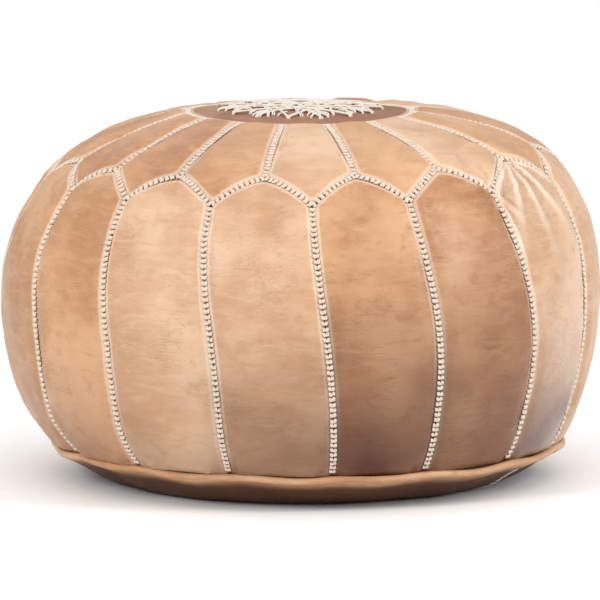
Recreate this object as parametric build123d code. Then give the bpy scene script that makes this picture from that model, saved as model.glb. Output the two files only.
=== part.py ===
"""A round leather floor pouf: sixteen top panels and sixteen pointed side panels of leather, laced
together with a cream braid round an embroidered medallion, on a base of two half-moon panels that
are closed by a zip. Inside is a cotton bag of filling. +Z is up, and the origin is on the floor
under the middle of the pouf. Lengths are in millimetres and angles in degrees."""

from build123d import *
import math
import os

# ---- driving sizes of the cover ----
EQUATOR_R = 270.0  # widest radius of the pouf, over its braids
EQUATOR_Z = 172.0
LEATHER = 2.0
BRAID_H = 2.5
BRAID_W = 6.0
PANELS = 16
PITCH = 360.0 / PANELS
SIDE_SEAM = -85.2  # azimuth of the side seam nearest the front, which faces -Y
SEAM_GAP = 0.4
SKIN_GAP = 0.05  # between the leather and what is laced onto it

# ---- the cover's outline, as tangent arcs from the widest point up and down ----
BROW_R, BROW_END = 170.0, 17.5
SHOULDER_R, SHOULDER_END = 143.0, 68.0
CROWN_R = 308.0
FLANK_R, FLANK_END = 320.0, 17.4
HAUNCH_R, HAUNCH_END = 114.0, 41.7

# ---- medallion and the pointed arches ----
MEDALLION_R = 101.0
DOME_RISE = 6.0
PEAK_R = 207.0
VALLEY_R = 234.0
ARCH_BULGE = 2.0
ARCH_BRAID_SHIFT = 2.4  # half the arch braid's width, seen from above on the sloping shoulder
STAR_R = 84.0
STAR_STEP = 6
STRAND_W = 2.2
STRAND_H = 1.4

# ---- base ----
WELT_R, WELT_Z, WELT_RADIUS = 229.5, 30.0, 4.0
FOOT_R = 168.0  # outer edge of the flat ring that stands on the floor
FOOT_INNER_R = 152.0
DISH_R = 145.0
DISH_Z = 10.0
BASE_EDGE_R, BASE_EDGE_Z = 226.5, 25.5
STITCH_START_R, STITCH_END_R = 184.0, 222.0
STITCH_W, STITCH_H = 3.0, 1.0

# ---- zip, which runs across the base ----
ZIP_AZIMUTH = -32.0
SLOT_HALF = 7.0
SLOT_END = 141.0
TAPE_IN, TAPE_OUT, TAPE_T, TAPE_END = 2.7, 16.0, 0.8, 140.0
TOOTH_PITCH, TOOTH_T, TOOTH_H = 3.6, 1.5, 2.6
TOOTH_REACH, TOOTH_ROOT = 0.7, 2.6
STOP_CLEAR = 5.0  # from the chain's first tooth to the middle of the end stop
CHAIN_START, CHAIN_END = -118.0, 130.0
SLIDER_U = 128.0  # where the slider stands with the zip closed
SLIDER_L, SLIDER_W, PLATE_T = 16.0, 12.0, 1.6
PULL_L, PULL_W, PULL_T = 28.0, 8.0, 1.4
PULL_DROOP = 13.0

# ---- inside ----
BAG_GAP = 0.6
BAG_T = 1.0
BAG_FLOOR_Z = 18.0  # over the zip slider
BAG_HOLLOW_IN = 4.0  # the bag's hollow is this much smaller in radius than the base's

TAPE_Z = DISH_Z + LEATHER + 0.1
CHAIN_Z = TAPE_Z + TAPE_T / 2
CUTTER_Z0, CUTTER_Z1 = 215.0, 380.0


def polar(centre, radius, angle):
    """The point at an angle on a circle in the outline's plane."""
    return (
        centre[0] + radius * math.cos(math.radians(angle)),
        centre[1] + radius * math.sin(math.radians(angle)),
    )


def arc(centre, radius, start, end):
    return CenterArc(centre, radius, start, end - start)


BROW_C = (EQUATOR_R - BROW_R, EQUATOR_Z)
SHOULDER_C = polar(BROW_C, BROW_R - SHOULDER_R, BROW_END)
CROWN_C = polar(SHOULDER_C, SHOULDER_R - CROWN_R, SHOULDER_END)
FLANK_C = (EQUATOR_R - FLANK_R, EQUATOR_Z)
HAUNCH_C = polar(FLANK_C, FLANK_R - HAUNCH_R, -FLANK_END)
FOOT_ARC_R = ((BASE_EDGE_R - FOOT_R) ** 2 + BASE_EDGE_Z**2) / (2 * BASE_EDGE_Z)
FOOT_C = (FOOT_R, FOOT_ARC_R)
FOOT_ARC_END = -math.degrees(math.acos((BASE_EDGE_R - FOOT_R) / FOOT_ARC_R))
LEATHER_DEPTH = 2.0  # of the leather's face below the braids' crowns


def crown_angle(depth, radius):
    """Where the crown's arc, sunk by depth, reaches a radius from the axis."""
    return math.degrees(math.acos((radius - CROWN_C[0]) / (CROWN_R - depth)))


def cover_arcs(depth, inner_r):
    """The cover's outline sunk by depth, from inner_r on the crown round to the welt."""
    return [
        arc(CROWN_C, CROWN_R - depth, crown_angle(depth, inner_r), SHOULDER_END),
        arc(SHOULDER_C, SHOULDER_R - depth, SHOULDER_END, BROW_END),
        arc(BROW_C, BROW_R - depth, BROW_END, 0),
        arc(FLANK_C, FLANK_R - depth, 0, -FLANK_END),
        arc(HAUNCH_C, HAUNCH_R - depth, -FLANK_END, -HAUNCH_END),
    ]


def closed_face(chains):
    """A face in the XZ plane bounded by chains of edges, with straight joints between them."""
    edges = []
    for chain, following in zip(chains, chains[1:] + chains[:1]):
        edges += chain
        gap_start, gap_end = chain[-1] @ 1, following[0] @ 0
        if (gap_end - gap_start).length > 1e-6:
            edges.append(Line(gap_start, gap_end))
    return Plane.XZ * make_face(Wire(edges))


def backwards(edges):
    """The same edges in the opposite order and direction."""
    turned = []
    for edge in reversed(edges):
        if edge.geom_type == GeomType.LINE:
            turned.append(Line(edge @ 1, edge @ 0))
        else:
            turned.append(ThreePointArc(edge @ 1, edge @ 0.5, edge @ 0))
    return turned


def cover_band(outer_depth, inner_depth, inner_r):
    """The cut face of a layer of the cover between two depths."""
    outer = cover_arcs(outer_depth, inner_r)
    inner = cover_arcs(inner_depth, inner_r)
    return closed_face([outer, backwards(inner)])


def star_prism(shift):
    """A prism whose outline is the ring of pointed arches, grown by shift."""
    edges = []
    for i in range(PANELS):
        peak = SIDE_SEAM + PITCH * (i + 0.5)
        for side in (-1, 1):
            top = Vector(*polar((0, 0), PEAK_R + shift, peak))
            foot = Vector(*polar((0, 0), VALLEY_R + shift, peak + side * PITCH / 2))
            middle = (top + foot) / 2
            middle = middle - middle.normalized() * ARCH_BULGE
            ends = (foot, top) if side < 0 else (top, foot)
            edges.append(ThreePointArc(ends[0], middle, ends[1]))
    return extrude(Pos(0, 0, CUTTER_Z0) * make_face(Wire(edges)), CUTTER_Z1 - CUTTER_Z0)


def sector(face, azimuth, width):
    """A face in the XZ plane turned about the axis through width degrees, centred on azimuth."""
    return Rot(0, 0, azimuth - width / 2) * revolve(face, Axis.Z, revolution_arc=width)


def strip(face, azimuth, width):
    """A face in the XZ plane made into a straight strip of a width, at azimuth."""
    return Rot(0, 0, azimuth) * extrude(face, width / 2, both=True)


def spun(shape, count=PANELS):
    """Copies of a shape turned about the axis, one for each panel."""
    return [Rot(0, 0, 360.0 / count * i) * shape for i in range(count)]


def panels():
    """One list of top panels and one of side panels, each panel a solid of leather."""
    gap_angle = math.degrees(SEAM_GAP / EQUATOR_R)
    shell = cover_band(LEATHER_DEPTH, LEATHER_DEPTH + LEATHER, MEDALLION_R + SEAM_GAP)
    top = sector(shell, SIDE_SEAM, PITCH - gap_angle) & star_prism(-SEAM_GAP / 2)
    side = sector(shell, SIDE_SEAM + PITCH / 2, PITCH - gap_angle) - star_prism(SEAM_GAP / 2)
    return spun(top), spun(side)


def cover_braids():
    """The braids over the top seams, the arches and the side seams."""
    surface = LEATHER_DEPTH - SKIN_GAP
    band = cover_band(surface - BRAID_H, surface, MEDALLION_R + BRAID_W / 2 + SKIN_GAP)
    inside = star_prism(-ARCH_BRAID_SHIFT)
    outside = star_prism(ARCH_BRAID_SHIFT)
    top = strip(band, SIDE_SEAM + PITCH / 2, BRAID_W) & star_prism(-ARCH_BRAID_SHIFT - SKIN_GAP)
    side = strip(band, SIDE_SEAM, BRAID_W) - star_prism(ARCH_BRAID_SHIFT + SKIN_GAP)
    arch = revolve(band, Axis.Z) & (outside - inside)
    return Compound(spun(top)), arch, Compound(spun(side))


def dome_arc(radius, lift):
    """The medallion's outline, lift above the underside of its leather, from the axis outwards."""
    rim_angle = crown_angle(LEATHER_DEPTH + LEATHER, MEDALLION_R)
    rim_z = polar(CROWN_C, CROWN_R - LEATHER_DEPTH - LEATHER, rim_angle)[1]
    curve = (MEDALLION_R**2 + DOME_RISE**2) / (2 * DOME_RISE)
    centre = (0, rim_z + DOME_RISE - curve)
    reach = math.degrees(math.asin(radius / (curve + lift)))
    return arc(centre, curve + lift, 90, 90 - reach)


def dome_layer(low, high, inner_r, outer_r):
    """A layer of the medallion between two heights above its underside."""
    upper, lower = dome_arc(outer_r, high), dome_arc(outer_r, low)
    layer = revolve(closed_face([[upper], backwards([lower])]), Axis.Z)
    if inner_r:
        layer -= Cylinder(inner_r, CUTTER_Z1, align=(Align.CENTER, Align.CENTER, Align.MIN))
    return layer


def medallion():
    """The disc, the star stitched on it and the braid round its edge."""
    disc = dome_layer(0, LEATHER, 0, MEDALLION_R - SEAM_GAP)
    face = LEATHER + SKIN_GAP
    border = dome_layer(face, face + BRAID_H, MEDALLION_R - BRAID_W / 2, MEDALLION_R - SEAM_GAP)
    strands = Sketch()
    for i in range(PANELS):
        start = Vector(*polar((0, 0), STAR_R, PITCH * i))
        end = Vector(*polar((0, 0), STAR_R, PITCH * (i + STAR_STEP)))
        middle = (start + end) / 2
        angle = math.degrees(math.atan2(end.Y - start.Y, end.X - start.X))
        strands += Pos(middle.X, middle.Y) * Rot(0, 0, angle) * Rectangle((end - start).length, STRAND_W)
    posts = extrude(Rot(0, 0, SIDE_SEAM) * strands, CUTTER_Z1)
    star = dome_layer(face, face + STRAND_H, 0, STAR_R + STRAND_W) & posts
    return disc, star, border


def base_arcs(depth):
    """The base's outline, raised by depth, from its edge under the welt in to the axis."""
    foot = (FOOT_R, depth)
    inner = (FOOT_INNER_R, depth)
    dish = (DISH_R, DISH_Z + depth)
    return [
        arc(FOOT_C, FOOT_ARC_R - depth, FOOT_ARC_END, -90),
        Line(foot, inner),
        Line(inner, dish),
        Line(dish, (0, DISH_Z + depth)),
    ]


def zip_frame(shape):
    """Moves a shape from the zip's own frame, with X along the zip, to its place."""
    return Rot(0, 0, ZIP_AZIMUTH) * shape


def base_panels():
    """The two half-moons, with the slot that the zip closes between them."""
    gap_angle = math.degrees(SEAM_GAP / FOOT_R)
    skin = closed_face([base_arcs(0), backwards(base_arcs(LEATHER))])
    slot = zip_frame(Box(2 * SLOT_END, 2 * SLOT_HALF, 60))
    front = sector(skin, ZIP_AZIMUTH - 90, 180 - gap_angle) - slot
    back = sector(skin, ZIP_AZIMUTH + 90, 180 - gap_angle) - slot
    return front, back


def base_stitching():
    """The stitches over the base seam, from the foot up to the welt at each end of the zip."""
    def angle(radius, depth):
        return -math.degrees(math.acos((radius - FOOT_R) / (FOOT_ARC_R - depth)))

    outer_r, inner_r = FOOT_ARC_R + SKIN_GAP + STITCH_H, FOOT_ARC_R + SKIN_GAP
    start = angle(STITCH_START_R, 0)
    end = angle(STITCH_END_R, 0)
    outer = arc(FOOT_C, outer_r, end, start)
    inner = arc(FOOT_C, inner_r, end, start)
    face = closed_face([[outer], backwards([inner])])
    return Compound([strip(face, ZIP_AZIMUTH + turn, STITCH_W) for turn in (0, 180)])


def welt():
    return revolve(Plane.XZ * Pos(WELT_R, WELT_Z) * Circle(WELT_RADIUS), Axis.Z)


def cotton_bag():
    """The closed bag and the filling in it, which follow the cover and clear the zip."""
    def layer(extra):
        side_depth = LEATHER_DEPTH + LEATHER + BAG_GAP + extra
        floor_depth = LEATHER + BAG_GAP + extra
        sides = cover_arcs(side_depth, MEDALLION_R)
        crown = sides[0] @ 0
        lid = Line((0, crown.Y), (crown.X, crown.Y))
        tuck = (WELT_R - WELT_RADIUS - BAG_GAP - BAG_T - extra, WELT_Z)
        foot = arc(FOOT_C, FOOT_ARC_R - floor_depth, FOOT_ARC_END, -90)
        waist = [Line(sides[-1] @ 1, tuck), Line(tuck, foot @ 0)]
        hollow_z = BAG_FLOOR_Z + extra
        ring_out = (FOOT_R, floor_depth)
        ring_in = (FOOT_INNER_R + BAG_T, floor_depth)
        hollow = (DISH_R - BAG_HOLLOW_IN, hollow_z)
        floor = [Line(ring_out, ring_in), Line(ring_in, hollow), Line(hollow, (0, hollow_z))]
        return revolve(closed_face([[lid] + sides + waist, [foot] + floor]), Axis.Z)

    bag = layer(0) - layer(BAG_T)
    filling = layer(BAG_T + BAG_GAP)
    return bag, filling


def zip_chain():
    """Two tapes, two rows of interlocked teeth and the stops at the chain's ends."""
    tapes, rows = [], []
    length = CHAIN_END - CHAIN_START
    count = int(length / TOOTH_PITCH)
    for side in (1, -1):
        middle = side * (TAPE_IN + TAPE_OUT) / 2
        tape = Box(2 * TAPE_END, TAPE_OUT - TAPE_IN, TAPE_T)
        tapes.append(zip_frame(Pos(0, middle, CHAIN_Z) * tape))
        tooth = Box(TOOTH_T, TOOTH_REACH + TOOTH_ROOT, TOOTH_H)
        offset = side * (TOOTH_ROOT - TOOTH_REACH) / 2
        shift = 0 if side > 0 else TOOTH_PITCH / 2
        row = []
        for i in range(count):
            u = CHAIN_START + shift + TOOTH_PITCH * i
            row.append(zip_frame(Pos(u, offset, CHAIN_Z) * tooth))
        rows.append(Compound(row))
    top_stop = Box(4, TOOTH_ROOT - TOOTH_REACH, TOOTH_H)
    stop_u = TAPE_END - 2.2
    stop_v = (TOOTH_ROOT + TOOTH_REACH) / 2
    stops = [zip_frame(Pos(stop_u, side * stop_v, CHAIN_Z) * top_stop) for side in (1, -1)]
    end_stop = Box(5, 2 * TOOTH_ROOT, TOOTH_H)
    stops.append(zip_frame(Pos(CHAIN_START - STOP_CLEAR, 0, CHAIN_Z) * end_stop))
    return tapes, rows, Compound(stops)


LOWER_PLATE_Z = CHAIN_Z - TOOTH_H / 2 - 0.4 - PLATE_T / 2
UPPER_PLATE_Z = CHAIN_Z + TOOTH_H / 2 + 0.4 + PLATE_T / 2
PIVOT_Z = LOWER_PLATE_Z - PLATE_T / 2 - 1.2
PIVOT_R = 0.9


def slider():
    """The slider: two plates with turned-in edges, the wedge that joins them and the pull's bridge."""
    body = None
    for z, direction in ((LOWER_PLATE_Z, 1), (UPPER_PLATE_Z, -1)):
        plate = Box(SLIDER_L, SLIDER_W, PLATE_T)
        plate = Pos(0, 0, z) * fillet(plate.edges().filter_by(Axis.Z), 3)
        reach = abs(CHAIN_Z - z) - PLATE_T / 2 - TAPE_T / 2 - 0.1
        lip = Box(SLIDER_L - 6, 1, reach)
        for side in (1, -1):
            lip_z = z + direction * (PLATE_T + reach) / 2
            plate += Pos(0, side * (SLIDER_W - 1) / 2, lip_z) * lip
        body = plate if body is None else body + plate
    wedge = extrude(Pos(0, 0, LOWER_PLATE_Z) * Ellipse(2.6, 1.9), UPPER_PLATE_Z - LOWER_PLATE_Z)
    body += Pos(SLIDER_L / 2 - 3, 0, 0) * wedge
    arch = Pos(0, 0, PIVOT_Z - 0.6) * Box(8, 1.6, 3.6)
    window = Pos(0, 0, PIVOT_Z) * Box(5, 3, 2.4)
    body += arch - window
    return zip_frame(Pos(SLIDER_U, 0, 0) * body)


def pull_tab():
    """The pull: a pin through the slider's bridge, an eye round it and a tongue with a rounded end."""
    tongue = Pos(-PULL_L / 2, 0, 0) * Box(PULL_L, PULL_W, PULL_T)
    tongue = fillet(tongue.edges().filter_by(Axis.Z).group_by(Axis.X)[0], 3)
    eye = Pos(-2.6, 0, 0) * Box(7, 3, 2 * PULL_T)
    hole = extrude(Pos(-PULL_L + 5, 0, -PULL_T) * Circle(2), 2 * PULL_T)
    tongue = tongue - eye - hole
    pin = Rot(90, 0, 0) * Cylinder(PIVOT_R, PULL_W)
    droop = Rot(0, -PULL_DROOP, 0) * (tongue + pin)
    return zip_frame(Pos(SLIDER_U, 0, PIVOT_Z) * droop)


def write(shapes, names):
    """Writes one STEP file for each shape."""
    for shape, name in zip(shapes, names, strict=True):
        export_step(shape, "parts/" + name + ".step")


os.makedirs("parts", exist_ok=True)
top_panels, side_panels = panels()
write(top_panels, [f"top_panel_{i + 1:02d}" for i in range(PANELS)])
write(side_panels, [f"side_panel_{i + 1:02d}" for i in range(PANELS)])
write(cover_braids(), ["top_seam_braids", "arch_seam_braid", "side_seam_braids"])
write(medallion(), ["medallion_disc", "medallion_embroidery", "medallion_border_braid"])
write(base_panels(), ["base_panel_front", "base_panel_back"])
write([base_stitching(), welt()], ["base_seam_stitching", "base_welt"])
write(cotton_bag(), ["filling_bag", "filling"])
tapes, rows, stops = zip_chain()
write(tapes, ["zip_tape_back", "zip_tape_front"])
write(rows, ["zip_teeth_back", "zip_teeth_front"])
write([stops, slider(), pull_tab()], ["zip_stops", "zip_slider", "zip_pull_tab"])
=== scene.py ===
"""The looks of a laced leather pouf, built round its CAD frame: leather panels that swell between
sunk seams, a hand braid over each seam, a star embroidered on the medallion, a rolled welt, the
base with its zip, and the bag of filling inside. Lengths are in metres and angles in degrees."""

import math

import bpy
import numpy as np
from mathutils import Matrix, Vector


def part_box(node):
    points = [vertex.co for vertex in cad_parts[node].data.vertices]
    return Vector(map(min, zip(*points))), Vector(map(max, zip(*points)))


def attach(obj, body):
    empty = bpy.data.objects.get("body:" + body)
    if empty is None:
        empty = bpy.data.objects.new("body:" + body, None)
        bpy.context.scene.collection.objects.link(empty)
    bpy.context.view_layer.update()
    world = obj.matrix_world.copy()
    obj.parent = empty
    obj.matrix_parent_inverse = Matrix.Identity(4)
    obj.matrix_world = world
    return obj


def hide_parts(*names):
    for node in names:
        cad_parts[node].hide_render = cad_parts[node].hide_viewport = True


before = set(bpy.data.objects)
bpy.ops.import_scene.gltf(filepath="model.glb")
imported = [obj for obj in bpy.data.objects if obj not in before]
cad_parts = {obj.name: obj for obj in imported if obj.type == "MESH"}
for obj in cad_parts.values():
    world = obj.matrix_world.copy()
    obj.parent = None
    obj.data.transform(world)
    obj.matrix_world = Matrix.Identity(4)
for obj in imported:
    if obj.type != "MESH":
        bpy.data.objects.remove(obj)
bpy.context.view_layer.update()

MM = 0.001
BODY = "pouf"

# ---- the cover's outline, as in the CAD: tangent arcs from the widest point up and down ----
EQUATOR_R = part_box("side_seam_braids")[1][0] + 0.15 * MM
EQUATOR_Z = 172 * MM
BROW_R, BROW_END = 170 * MM, 17.5
SHOULDER_R, SHOULDER_END = 143 * MM, 68.0
CROWN_R = 308 * MM
FLANK_R, FLANK_END = 320 * MM, 17.4
HAUNCH_R, HAUNCH_END = 114 * MM, 45.0  # the panels' lower ends turn in behind the welt

# ---- panels and seams ----
PANELS = 16
PITCH = 360.0 / PANELS
SIDE_SEAM = -85.2
MEDALLION_R = 101 * MM
DOME_RISE = 5.5 * MM
PEAK_R, VALLEY_R = 206 * MM, 231.5 * MM
ARCH_BULGE = 0.055
LEAN = 6 * MM  # how much fuller the shoulder is on the right than on the left
BACK_DROOP = 5 * MM  # how much lower the crown lies at the back
BASE_SHIFT = 7 * MM  # how far the base and the welt have slipped to the right
ARCH_SWELL = 3.5 * MM  # how far the arches' legs stand out between their sunk corners
TWIST_TOP, TWIST_SIDE = -1.5, 3.2  # how the seams lean round the pouf, from top to welt
GROOVE = 3.8 * MM
ROLL = 8.0 * MM
SWELL = 2.6 * MM
END_BULGE = 2.2 * MM  # of a top panel's inner end over the plait round the medallion
LEATHER = 2.0 * MM
SEAM_GAP = 0.15 * MM
EDGE_STEPS = 6  # rows of vertices in each rolled edge
# how far each seam near the front wanders sideways, in degrees: at its arch, half way, and at the welt
WANDER = {
    -3: (0.2, 1.3, -2.0), -2: (-1.1, 1.3, -1.3), -1: (-0.9, 1.0, -0.1), 0: (-0.6, 0.35, 0.6),
    1: (-1.4, 1.3, -0.7), 2: (-1.5, 2.1, 0.1), 3: (0.5, 1.0, -0.8),
}
WANDER_ELSEWHERE = 0.7

# its head folds also get a painted highlight, partly rubbed leather, on their crests
FOLDED_PANEL = "side_panel_03"  # the one whose head is creased and rubbed to a gloss

# ---- braids ----
BRAID_DEPTH = 3.7 * MM
BRAID_HALF_W = 2.5 * MM
BRAID_RISE = 1.4 * MM
THREAD_R = 0.85 * MM
STAR_THREAD_R = 0.8 * MM
STITCH = 5.0 * MM

# ---- base ----
WELT_R, WELT_Z, WELT_RADIUS = 229.6 * MM, 30.2 * MM, 3.0 * MM
FOOT_R, FOOT_INNER_R = 168 * MM, 152 * MM
DISH_R, DISH_Z = 138 * MM, 10 * MM
BASE_EDGE_R = 231.0 * MM  # the base runs out onto the welt's face
ZIP_AZIMUTH = -32.0
SLOT_HALF, SLOT_END = 7.2 * MM, 141 * MM
TAPE_INNER, TAPE_OUTER, TAPE_END = 2.7 * MM, 16 * MM, 140 * MM
TAPE_Z, TAPE_THICK = 12.5 * MM, 0.8 * MM

# ---- inside ----
BAG_DEPTH = 5.4 * MM  # the bag's depth under the bottom of the seams' grooves
BAG_FLOOR = 18.5 * MM  # the bag clears the zip's slider

rng = np.random.default_rng(11)


# ---------------- outline

def polar(centre, radius, angle):
    a = math.radians(angle)
    return (centre[0] + radius * math.cos(a), centre[1] + radius * math.sin(a))


BROW_C = (EQUATOR_R - BROW_R, EQUATOR_Z)
SHOULDER_C = polar(BROW_C, BROW_R - SHOULDER_R, BROW_END)
CROWN_C = polar(SHOULDER_C, SHOULDER_R - CROWN_R, SHOULDER_END)
FLANK_C = (EQUATOR_R - FLANK_R, EQUATOR_Z)
HAUNCH_C = polar(FLANK_C, FLANK_R - HAUNCH_R, -FLANK_END)


def outline():
    """Distance down the cover from the medallion, radius, height and slope angle, finely sampled."""
    crown_start = math.degrees(math.acos((MEDALLION_R - CROWN_C[0]) / CROWN_R))
    arcs = [
        (CROWN_C, CROWN_R, crown_start, SHOULDER_END),
        (SHOULDER_C, SHOULDER_R, SHOULDER_END, BROW_END),
        (BROW_C, BROW_R, BROW_END, 0),
        (FLANK_C, FLANK_R, 0, -FLANK_END),
        (HAUNCH_C, HAUNCH_R, -FLANK_END, -HAUNCH_END),
    ]
    rows = []
    start = 0.0
    for centre, radius, first, last in arcs:
        turn = np.radians(np.linspace(first, last, 200))
        along = start + radius * (turn[0] - turn)
        r, z = centre[0] + radius * np.cos(turn), centre[1] + radius * np.sin(turn)
        rows.append(np.stack([along, r, z, turn]))
        start = along[-1]
    return np.concatenate(rows, axis=1)


OUTLINE = outline()
END = OUTLINE[0, -1]
UPPER = OUTLINE[2] >= EQUATOR_Z


def along_at_radius(radius):
    """How far down the upper half of the cover a radius is reached."""
    return float(np.interp(radius, OUTLINE[1][UPPER], OUTLINE[0][UPPER]))


PEAK, VALLEY = along_at_radius(PEAK_R), along_at_radius(VALLEY_R)
ALONG_EQUATOR = along_at_radius(EQUATOR_R)


def smooth(x):
    """Eases from 0 to 1 as x goes from 0 to 1."""
    x = np.clip(x, 0, 1)
    return x * x * (3 - 2 * x)


def unit(vectors):
    """Vectors scaled to a length of 1."""
    return vectors / (np.linalg.norm(vectors, axis=-1, keepdims=True) + 1e-12)


def circle(steps):
    """The azimuths of a ring of points, in radians."""
    return np.arange(steps) * 2 * math.pi / steps


def round_axis(radius, azimuth, z):
    """Points given by their distance from the upright axis, azimuth in radians, and height."""
    x, y = radius * np.cos(azimuth), radius * np.sin(azimuth)
    return np.stack(np.broadcast_arrays(x, y, z), -1)


def outline_at(along):
    """Radius, height and slope angle of the cover at a distance down it."""
    return [np.interp(along, OUTLINE[0], row) for row in OUTLINE[1:]]


def pitch_width(along):
    """The width of a panel at a distance down the cover."""
    return np.interp(along, OUTLINE[0], OUTLINE[1]) * math.radians(PITCH)


def wander_table():
    """Each side seam's sideways wander: at its arch, the extra half way down, and at the welt."""
    table = rng.uniform(-WANDER_ELSEWHERE, WANDER_ELSEWHERE, (PANELS, 3))
    for seam, ends in WANDER.items():
        table[seam % PANELS] = ends
    return table


WANDERS = wander_table()


def shoulder(along):
    """1 on the shoulder, easing to 0 at the medallion and above the widest point."""
    return smooth(along / (95 * MM)) * smooth((ALONG_EQUATOR - along) / (110 * MM))


def sideways(z):
    """How far the slipped base carries the lower end of the cover sideways at a height."""
    return BASE_SHIFT * smooth((75 * MM - z) / (50 * MM))


def seam_azimuth(seam, along):
    """The azimuth of a seam coordinate, a whole number on a side seam and a half on a top seam."""
    seam, along = np.broadcast_arrays(np.asarray(seam, float), np.asarray(along, float))
    down = smooth((along - VALLEY) / (END - VALLEY))
    whole = np.floor(seam).astype(int)
    part = seam - whole
    before, after = WANDERS[whole % PANELS], WANDERS[(whole + 1) % PANELS]
    ends = before * (1 - part)[..., None] + after * part[..., None]
    wander = ends[..., 0] * (1 - down) + ends[..., 1] * np.sin(math.pi * down) + ends[..., 2] * down
    return SIDE_SEAM + PITCH * seam + TWIST_TOP + TWIST_SIDE * down + wander


def cover_point(seam, along, height):
    """A point of the cover: height is measured outwards from the outline."""
    azimuth = np.radians(seam_azimuth(seam, along))
    seam, along = np.asarray(seam, float), np.asarray(along, float)
    r, z, turn = outline_at(along)
    height = height + LEAN * np.cos(azimuth) * shoulder(along)
    height = height - BACK_DROOP * smooth(np.sin(azimuth)) * smooth((PEAK - along) / PEAK * 1.5)
    leg = 2 * np.abs(seam - np.round(seam))
    from_arch = (along - arch_along(seam)) / (26 * MM)
    height = height + ARCH_SWELL * 4 * leg * (1 - leg) * np.exp(-(from_arch**2))
    out = r + height * np.cos(turn) + sideways(z) * np.cos(azimuth)
    return round_axis(out, azimuth, z + height * np.sin(turn))


def arch_along(seam):
    """How far down the cover the ring of arches lies at a seam coordinate."""
    part = np.abs(np.asarray(seam, float) - np.round(seam)) * 2  # 0 at a valley, 1 at a peak
    lift = np.clip(part + ARCH_BULGE * 4 * part * (1 - part), 0, 1.05)
    return VALLEY + (PEAK - VALLEY) * lift


# ---------------- noise and meshes

def lattice_noise(points, size, seed):
    """Smooth noise from -1 to 1 whose lumps are about size across."""
    p = points / size + seed * 17.31
    cell = np.floor(p).astype(np.int64)
    f = p - cell
    f = f * f * (3 - 2 * f)
    total = np.zeros(p.shape[:-1])
    for corner in range(8):
        step = np.array([corner & 1, corner >> 1 & 1, corner >> 2 & 1])
        n = cell + step
        h = (n[..., 0] * 73856093) ^ (n[..., 1] * 19349663) ^ (n[..., 2] * 83492791) ^ (seed * 2654435761)
        h = (h ^ (h >> 13)) * 1274126177 & 0x7FFFFFFF
        weight = np.prod(np.where(step == 1, f, 1 - f), axis=-1)
        total += weight * (h % 65521 / 65521.0)
    return total * 2 - 1


def layered_noise(points, size, seed, layers):
    """Smooth noise with finer, weaker layers added."""
    return sum(0.5**layer * lattice_noise(points, size / 2**layer, seed + layer) for layer in range(layers))


def add_object(name, data):
    thing = bpy.data.objects.new(name, data)
    bpy.context.scene.collection.objects.link(thing)
    return thing


def mesh_object(name, vertices, faces, material, slot, **attributes):
    """A smooth-shaded piece made from arrays, which rides on the pouf and replaces its CAD node."""
    mesh = bpy.data.meshes.new(name)
    mesh.from_pydata(np.asarray(vertices, float).reshape(-1, 3).tolist(), [], faces)
    for key, values in attributes.items():
        layer = mesh.attributes.new(key, "FLOAT", "POINT")
        layer.data.foreach_set("value", np.asarray(values, np.float32).ravel())
    mesh.polygons.foreach_set("use_smooth", [True] * len(mesh.polygons))
    mesh.materials.append(material)
    piece = add_object(name, mesh)
    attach(piece, BODY)
    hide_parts(name)
    return piece


def grid_faces(rows, columns, closed=False):
    """Quads of a grid of vertices stored row by row, closed round its columns if asked, as an array."""
    i, j = np.meshgrid(np.arange(rows - 1), np.arange(columns - (0 if closed else 1)), indexing="ij")
    k = (j + 1) % columns
    quads = np.stack([i * columns + j, (i + 1) * columns + j, (i + 1) * columns + k, i * columns + k], -1)
    return quads.reshape(-1, 4)


def tubes(paths, radii, sides=6):
    """Vertices and faces of closed tubes along paths of equal length: paths is (tubes, stations, 3)."""
    count, stations, _ = paths.shape
    tangent = unit(np.gradient(paths, axis=1))
    chord = paths[:, -1] - paths[:, 0]
    middle = paths[:, stations // 2] - (paths[:, 0] + paths[:, -1]) / 2
    middle[np.linalg.norm(middle, axis=1) < 1e-7] = (0, 0, 1)
    side = unit(np.cross(chord, middle))
    up = unit(np.cross(side[:, None], tangent))
    side = np.cross(tangent, up)
    turn = circle(sides)
    ring = side[:, :, None] * np.cos(turn)[:, None] + up[:, :, None] * np.sin(turn)[:, None]
    points = paths[:, :, None] + ring * np.asarray(radii)[..., None, None]
    starts = np.arange(count)[:, None] * stations * sides
    faces = (starts[..., None] + grid_faces(stations, sides, closed=True)).reshape(-1, 4).tolist()
    first = np.arange(sides)
    last = (stations - 1) * sides + first[::-1]
    faces += np.stack([starts + first, starts + last], 1).reshape(-1, sides).tolist()
    return points.reshape(-1, 3), faces


def tube_object(name, paths, radii, material, slot):
    """A piece made of threads."""
    points, faces = tubes(paths, radii)
    return mesh_object(name, points, faces, material, slot)


def solidify(piece, thickness):
    """Gives a sheet its thickness, inwards."""
    shell = piece.modifiers.new("thickness", "SOLIDIFY")
    shell.thickness = thickness
    shell.offset = -1.0
    shell.use_even_offset = False
    shell.use_quality_normals = True


# ---------------- materials

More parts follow.
